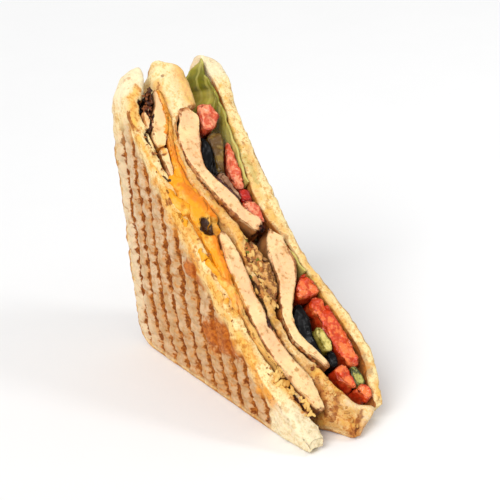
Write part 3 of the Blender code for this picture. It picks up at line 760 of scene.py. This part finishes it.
def melted_cheese():
    """Melted cheese: orange where thick, yellow where it thins over the bread."""
    f = Surface("melted cheese", 0.35, Specular_IOR_Level=0.3, Subsurface_Weight=0.05, Subsurface_Scale=0.002)
    fine, medium = f.speckle(1.0, 3), f.speckle(3.4, 2)
    thin = f.mix(f.between(fine, 0.40, 0.62), (240, 190, 90), (226, 156, 44))
    colour = f.mix(f.between(medium + (fine - 0.5) * 0.6, 0.42, 0.60), (238, 158, 18), thin)
    thick = f.given("cheesy") + (medium - 0.5) * 0.9 + (fine - 0.5) * 0.5
    colour = f.mix(f.between(thick, 0.45, 0.85) * 0.9, colour, (232, 126, 0))
    upper = f.between(f.given("along") * CUT + (medium - 0.5) * 12, 46, 36) * 0.7
    colour = f.mix(upper, colour, f.mix(f.between(fine, 0.40, 0.60), (216, 142, 44), (240, 194, 100)))
    lower = f.between(f.given("along") * CUT + (medium - 0.5) * 20, 92, 104) * 0.8
    colour = f.mix(lower, colour, f.mix(fine, (224, 170, 84), (240, 204, 132)))
    colour = f.mix(f.between(fine, 0.56, 0.70) * 0.5, colour, (200, 102, 8))
    # Painted shadow in the holes of the cheese
    hole = f.between(f.given("dark") + (fine - 0.5) * 1.2, 0.30, 0.60)
    colour = f.mix(hole * 0.97, colour, f.mix(fine, (60, 18, 4), (22, 6, 2)))
    return f.joined(colour, 0.3 + fine * 0.3, fine + medium * 0.5, 0.6)


def bits(name, first, second):
    """Crumbs and herbs: two shades from bit to bit."""
    f = Surface(name, 0.5, Specular_IOR_Level=0.3)
    fine, medium = f.speckle(0.8, 3), f.speckle(3.0)
    colour = f.mix(f.between(medium, 0.42, 0.58), first, second)
    return f.joined(colour, 0.35 + fine * 0.4, fine, 0.2)


def lettuce():
    """A wilted leaf: dark olive along its free edge, yellow-green by the bread, paler veins."""
    f = Surface("lettuce", 0.4, Specular_IOR_Level=0.35, Subsurface_Weight=0.08, Subsurface_Scale=0.0015)
    fine, medium, broad = f.speckle(1.2, 3), f.speckle(4, 2), f.speckle(12, 2)
    vein = f.add("ShaderNodeTexWave", {"wave_type": "BANDS", "bands_direction": "X"},
                 {"Vector": f.place, "Scale": 70.0, "Distortion": 5.0, "Detail": 2.0}, "Fac")
    colour = f.mix(f.between(medium, 0.38, 0.62), (112, 108, 16), (146, 138, 36))
    hollow = f.between(f.given("raised") + (medium - 0.5) * 0.5, 0.55, 0.1)
    colour = f.mix(hollow * 0.8, colour, (180, 166, 70))
    colour = f.mix(f.between(vein, 0.72, 0.95) * 0.45, colour, (198, 188, 96))
    colour = f.mix(f.between(broad + (fine - 0.5) * 0.4, 0.5, 0.62) * 0.5, colour, (96, 92, 12))
    colour = f.mix(f.between(f.given("along") * CUT, 30, 46) * 0.85, colour, (206, 190, 106))
    return f.joined(colour, 0.3 + fine * 0.3, fine * 0.4 + vein * 0.6, 0.4)


# The camera, the light and the floor

PHOTO_AZIMUTH, PHOTO_ELEVATION, PHOTO_ROLL = 55.92, 23.07, -1.43
CAMERA_DISTANCE = 523.8
LOOKED_AT = (36.7, 26.2, 41.9)
PIXEL_FOCUS = 997.19       # the photo's focal length in its own pixels
CLOSER = 1.5               # how much larger the half fills this frame than the photo's
FRAME_PIXELS = 500
SENSOR = 36.0
LIT_AT = Vector((0, 0, 0.05))
KEY_POWER, SHEEN_POWER, SKY_POWER = 2.35, 0.8, 0.56
FLOOR_SIZE = 3.0
FLOOR_DROP = 0.0002        # the floor lies this far under the half, so that they don't share a plane


def add_camera():
    a, e, r = (math.radians(v) for v in (PHOTO_AZIMUTH, PHOTO_ELEVATION, PHOTO_ROLL))
    back = Vector((math.sin(a) * math.cos(e), -math.cos(a) * math.cos(e), math.sin(e)))
    right = Vector((math.cos(a), math.sin(a), 0))
    up = back.cross(right)
    turned_right = right * math.cos(r) + up * math.sin(r)
    turned_up = up * math.cos(r) - right * math.sin(r)
    data = bpy.data.cameras.new("camera")
    data.sensor_width = SENSOR
    data.lens = PIXEL_FOCUS * CLOSER / FRAME_PIXELS * SENSOR
    data.clip_start, data.clip_end = 0.01, 10.0
    camera = bpy.data.objects.new("camera", data)
    bpy.context.scene.collection.objects.link(camera)
    target = Vector((LOOKED_AT[0] + CORNER_AT[0], LOOKED_AT[1] + CORNER_AT[1], LOOKED_AT[2])) * MM
    turned = Matrix((turned_right, turned_up, back)).transposed().to_4x4()
    camera.matrix_world = Matrix.Translation(target + back * CAMERA_DISTANCE * MM) @ turned
    bpy.context.scene.camera = camera


def add_light(name, kind, place, power, **settings):
    data = bpy.data.lights.new(name, kind)
    data.energy = power
    for key, value in settings.items():
        setattr(data, key, value)
    light = bpy.data.objects.new(name, data)
    bpy.context.scene.collection.objects.link(light)
    light.location = place
    light.rotation_mode = "QUATERNION"
    light.rotation_quaternion = (Vector(place) - LIT_AT).to_track_quat("Z", "Y")


def add_studio():
    add_light("key", "SUN", (0.36, -0.68, 0.72), KEY_POWER, angle=math.radians(36))
    add_light("sheen", "AREA", (0.26, 0.34, 0.56), SHEEN_POWER, shape="DISK", size=0.16)
    world = bpy.data.worlds.new("studio")
    world.use_nodes = True
    world.node_tree.nodes["Background"].inputs["Color"].default_value = (1.0, 1.0, 1.0, 1.0)
    world.node_tree.nodes["Background"].inputs["Strength"].default_value = SKY_POWER
    bpy.context.scene.world = world
    bpy.context.scene.view_settings.view_transform = "Standard"


def add_floor():
    shape = bmesh.new()
    bmesh.ops.create_grid(shape, x_segments=8, y_segments=8, size=FLOOR_SIZE)
    mesh = bpy.data.meshes.new("floor")
    shape.to_mesh(mesh)
    shape.free()
    floor = bpy.data.objects.new("floor", mesh)
    bpy.context.scene.collection.objects.link(floor)
    f = Surface("pale floor", 0.7, Specular_IOR_Level=0.1)
    pale = f.mix(f.speckle(30), (240, 240, 240), (243, 243, 243))
    floor.data.materials.append(f.joined(pale, None, f.speckle(2), 0.02))
    floor.location.z = -FLOOR_DROP


# The pieces

def add_breads():
    toast, back_toast = toasted_crumb("front toast", 1.0), toasted_crumb("back toast", 0.6)
    bread("bread_front", (FRONT_OUTER, FRONT_INNER), (7.2, 150.5), (230, 165, 12),
          (-1, BAR_PITCH), toast, 10, 5.0)
    bread("bread_back", (BACK_INNER, BACK_OUTER), (7.2, 144.8), (190, 140, 12),
          (1, BAR_PITCH / 2), back_toast, 40, 3.4)
    bread("bread_middle", (MIDDLE_FRONT, MIDDLE_BACK_SHOWN), (6.6, 152.0), (200, 70, 24),
          None, soft_crumb(), 70, raised=lambda s: 1.3 * step(27, 33, s) * step(130, 112, s))


def add_meats():
    meat = sliced_chicken()
    mince = wet_food("seared mince", (110, 58, 22), (66, 28, 8), (40, 12, 4), 0.6, 1.6)
    shreds = wet_food("herby shreds", (206, 150, 78), (134, 80, 30), (84, 42, 12), 0.45, 1.0)
    filling("mince", (18.5, 24.2), [(18.5, 9.0), (24.2, 6.4)],
            [(18.5, 10.2), (21, 9.7), (24.2, 8.5)], -0.4, 10.0, (24, 16, 14), mince, 162, 3.0, 0.6, 1.6)
    filling("chicken_front_1", (24.6, 33.4), [(24.6, 5.0), (28, 3.0), (33.4, 2.3)],
            [(24.6, 6.2), (28, 5.2), (33.4, 3.0)], -0.4, 14.0, (28, 16, 12), meat, 164)
    filling("chicken_front_2", (19.5, 40.0), [(19.5, 11.0), (24, 9.3), (33, 3.6), (40, 2.1)],
            [(19.5, 11.9), (25, 11.4), (33, 9.5), (40, 5.9)], -1.0, None, (56, 26, 20), meat, 166)
    filling("chicken_front_3", (40.6, 53.0), [(40.6, 2.2), (53, 1.5)],
            [(40.6, 5.2), (53, 2.3)], -0.6, 24.0, (36, 16, 12), meat, 168)
    filling("chicken_front_4", (74.4, 140.4),
            [(74.4, 6.4), (90, 4.1), (105, 3.0), (112, 2.8), (121, 3.8), (131, 6.3), (136, 7.6),
             (140.4, 8.8)],
            [(74.4, 10.6), (90, 9.9), (98, 8.6), (110, 8.2), (120, 9.2), (131, 12.6), (140.4, 12.7)],
            -1.6, None, (150, 30, 20), meat, 170, 3.2)
    filling("chicken_back_upper", (28.4, 77.4),
            [(29.6, 15.4), (38, 11.0), (46, 9.9), (52, 10.9), (60, 13.0), (68, 15.0), (77.4, 19.6)],
            [(29.6, 21.4), (32, 22.6), (38, 19.6), (46, 16.0), (51, 14.9), (60, 18.0), (68, 21.0),
             (77.4, 25.4)],
            -1.4, None, (110, 30, 22), meat, 172)
    filling("chicken_back_lower", (77.8, 128.2),
            [(77.8, 25.0), (82, 22.2), (90, 20.6), (96, 19.7), (101, 17.0), (108, 14.3), (115, 13.7),
             (128.2, 20.2)],
            [(77.8, 27.0), (82, 29.3), (90, 29.2), (96, 26.8), (101, 23.0), (107, 18.5), (113, 16.9),
             (128.2, 21.6)],
            -1.0, None, (110, 30, 22), meat, 174)
    filling("chicken_shreds", (80.6, 101.2), [(80.6, 15.6), (86, 13.7), (101.2, 13.6)],
            [(80.6, 18.4), (90, 19.4), (96, 18.6), (101.2, 15.6)], -0.8, 22.0, (64, 26, 22), shreds, 176,
            2.6, 0.8, 2.2)


def add_cheese():
    cheese = melted_cheese()
    filling("cheese", (20, 126),
            [(20, 12.5), (30, 11.1), (38, 7.8), (46, 5.1), (57, 1.7), (75, 1.6), (95, 1.2),
             (112, 1.5), (126, 3.7)],
            [(20, 13.1), (30, 11.6), (38, 8.6), (50, 6.0), (64, 8.3), (74, 5.6), (90, 3.4),
             (112, 2.2), (126, 4.4)],
            -0.6, None, (220, 30, 12), cheese, 160, 4.0, 0.3, 3.0)
    smear("cheese_upper_run", (50.0, 82.0), (-4.2, 10.2), 0.5, (110, 2, 52), cheese, 150)
    smear("cheese_lower_run", (82.0, 104.0), (-4.2, 6.0), 0.5, (80, 2, 36), cheese, 155)


def divided(span):
    """The parts of a vegetable's block: 2.6 for each millimetre along the cut, 18 deep and 16 across."""
    return max(16, int((span[1] - span[0]) * 2.6)), 18, 16


def add_vegetables():
    flesh = wet_food("tomato", (238, 122, 62), (206, 62, 16), (150, 28, 2), 0.2, 1.5, 0.55, 0.45)
    pink = wet_food("pale tomato", (236, 148, 106), (206, 82, 46), (156, 34, 10), 0.2, 1.5, 0.5, 0.45)
    skin = wet_food("tomato skin", (186, 34, 16), (156, 16, 6), (110, 6, 2), 0.24, 2.4)
    black = wet_food("black olive", (16, 15, 16), (6, 6, 7), (2, 2, 3), 0.2, 2.4, 0.6, 0.12, 0.1)
    purple = wet_food("red onion", (96, 44, 40), (62, 22, 22), (36, 12, 12), 0.35, 2.0)
    pale = wet_food("pale onion", (190, 150, 112), (150, 104, 74), (110, 70, 44), 0.35, 2.0)
    brown = wet_food("cooked pepper", (134, 104, 40), (96, 66, 20), (58, 34, 8), 0.35, 2.4)
    pickled = wet_food("pickle", (216, 198, 112), (152, 134, 40), (98, 82, 18), 0.3, 1.6)
    green = wet_food("green pepper", (176, 170, 84), (62, 66, 22), (30, 32, 10), 0.3, 1.6)

    tomatoes = (
        ((28.8, 38.0), [(28.8, 24.4), (33, 23.3), (38, 21.6)], [(28.8, 28.6), (33, 30.2), (38, 27.0)],
         -0.6, 16.0),
        ((43.6, 61.0), [(43.6, 28.2), (48, 26.0), (54, 23.3), (61, 23.0)],
         [(43.6, 29.2), (50, 28.5), (61, 26.9)], 0.4, 30.0),
        ((61.8, 66.0), [(61.8, 23.4), (66, 23.2)], [(61.8, 26.7), (66, 26.4)], 0.8, 14.0),
        ((66.7, 74.8), [(66.7, 22.2), (70, 22.8), (74.8, 25.2)], [(66.7, 26.3), (70, 26.6), (74.8, 26.4)],
         -0.4, 18.0),
        ((96.6, 104.0), [(96.6, 27.6), (100, 24.8), (104, 23.6)], [(96.6, 30.4), (100, 31.6), (104, 32.2)],
         -1.0, 18.0),
        ((104.7, 130.2), [(104.7, 26.6), (112, 27.6), (124, 27.6), (130.2, 28.9)],
         [(104.7, 32.4), (115, 33.6), (130.2, 33.8)], 0.2, 30.0),
        ((129.0, 136.8), [(129, 22.6), (133, 23.6), (136.8, 25.7)], [(129, 27.6), (136.8, 27.3)], -0.2, 14.0),
        ((137.5, 141.8), [(137.5, 27.0), (141.8, 28.2)], [(137.5, 31.0), (141.8, 30.8)], -0.6, 8.0))
    for number, (span, front, back, near, far) in enumerate(tomatoes, 1):
        cut_side = skin if number == 3 else (pink if number in (1, 2, 4) else flesh)
        filling(f"tomato_{number}", span, front, back, near, far, divided(span), cut_side,
                180 + 7 * number, 3.2, 0.7, 2.4)

    small = (
        ("olive_1", "black_olive", (40.4, 53.0), [(40.4, 19.8), (46, 16.8), (53, 16.4)],
         [(40.4, 21.0), (44, 21.8), (53, 17.6)], 0.8, 12.0, black, 2.6),
        ("olive_2", "black_olive", (104.7, 125.0), [(104.7, 21.6), (110, 18.4), (116, 18.5), (125, 21.7)],
         [(104.7, 25.3), (110, 25.0), (116, 22.7), (125, 22.9)], 2.0, 16.0, black, 2.8),
        ("olive_3", "black_olive", (123.6, 128.3), [(123.6, 23.6), (128.3, 22.6)],
         [(123.6, 26.4), (128.3, 25.6)], 0.6, 9.0, black, 2.6),
        ("onion_purple", "red_onion", (54.0, 66.0), [(54, 16.9), (60, 18.7), (66, 21.1)],
         [(54, 18.6), (60, 20.3), (66, 21.9)], 1.0, 16.0, purple, 4.0),
        ("onion_pale", "pale_onion", (54.6, 64.6), [(54.6, 19.2), (60, 20.9), (64.6, 22.1)],
         [(54.6, 21.4), (60, 22.2), (64.6, 22.8)], 0.4, 16.0, pale, 4.0),
        ("pepper_cooked", "cooked_pepper", (38.7, 54.0), [(38.7, 23.0), (46, 22.4), (54, 21.3)],
         [(38.7, 29.0), (44, 27.2), (54, 22.6)], 1.4, 20.0, brown, 4.0),
        ("pickle", "pickle", (114.6, 123.0), [(114.6, 23.8), (123, 23.6)],
         [(114.6, 26.4), (119, 26.9), (123, 26.6)], 0.0, 10.0, pickled, 2.8),
        ("pepper_green", "pickle", (130.8, 137.0), [(130.8, 28.6), (137, 28.1)], [(130.8, 31.0), (137, 31.2)],
         0.0, 9.0, green, 3.0))
    for number, (node, slot, span, front, back, near, far, material, roundness) in enumerate(small):
        rough, grain = (0.3, 3.2) if slot == "black_olive" else (0.5, 2.2)
        filling(node, span, front, back, near, far, divided(span), material, 250 + 7 * number,
                roundness, rough, grain)

    green_leaf = lettuce()
    leaf("lettuce_top", (11.5, 60.0), -0.6, 26.0, [(11.5, 0.9), (18, 1.3), (26, 1.1), (33, 0.6), (42, 0.2)],
         0.7, (140, 60), green_leaf, 0.3)
    leaf("lettuce_lower", (84.0, 95.6), -0.4, 20.0, [(84, 0.1), (95.6, 0.1)], 0.6, (30, 30), green_leaf, 0.6)


def add_crumbs():
    brown_crumb = bits("browned crumbs", (178, 108, 46), (124, 62, 20))
    pale_crumb = bits("pale crumbs", (222, 178, 104), (190, 136, 66))
    seared_crumb = bits("seared crumbs", (128, 68, 26), (70, 28, 8))
    herb = bits("herbs", (116, 112, 30), (70, 62, 14))
    flecks("shred_crumbs", (79, 103), [(79, 15.5), (103, 14.5)], 60, (0.35, 0.9),
           brown_crumb, 301)
    flecks("shred_threads", (78, 104), [(78, 14.5), (104, 13.5)], 50, (0.4, 1.1),
           pale_crumb, 302)
    flecks("shred_herbs", (78, 104), [(78, 15.0), (104, 14.0)], 22, (0.3, 0.7), herb, 303)
    flecks("mince_crumbs", (19, 30), [(19, 9.0), (24, 5.6), (30, 5.0)], 26, (0.3, 0.6),
           seared_crumb, 304)
    flecks("tip_crumbs", (130, 149), [(130, 17), (141, 19), (149, 21)], 18, (0.3, 0.7),
           pale_crumb, 305)
    golden_crumb = bits("golden crumbs", (234, 192, 112), (196, 138, 56))
    flecks("torn_crumbs", (124, 141), [(124, 2.0), (132, 5.0), (141, 7.2)], 42, (0.35, 0.9),
           golden_crumb, 308)
    flecks("edge_crumbs", (30, 128), [(30, -0.6), (60, -0.6), (100, -0.4), (128, 0.6)], 34,
           (0.2, 0.45), brown_crumb, 307)
    flecks("cut_crumbs", (34, 128),
           [(34, 11.4), (60, 12.0), (76, 14.2), (95, 12.4), (128, 15.5)], 90, (0.25, 0.6), brown_crumb, 306)


add_camera()
add_studio()
add_floor()
add_breads()
add_meats()
add_cheese()
add_vegetables()
add_crumbs()
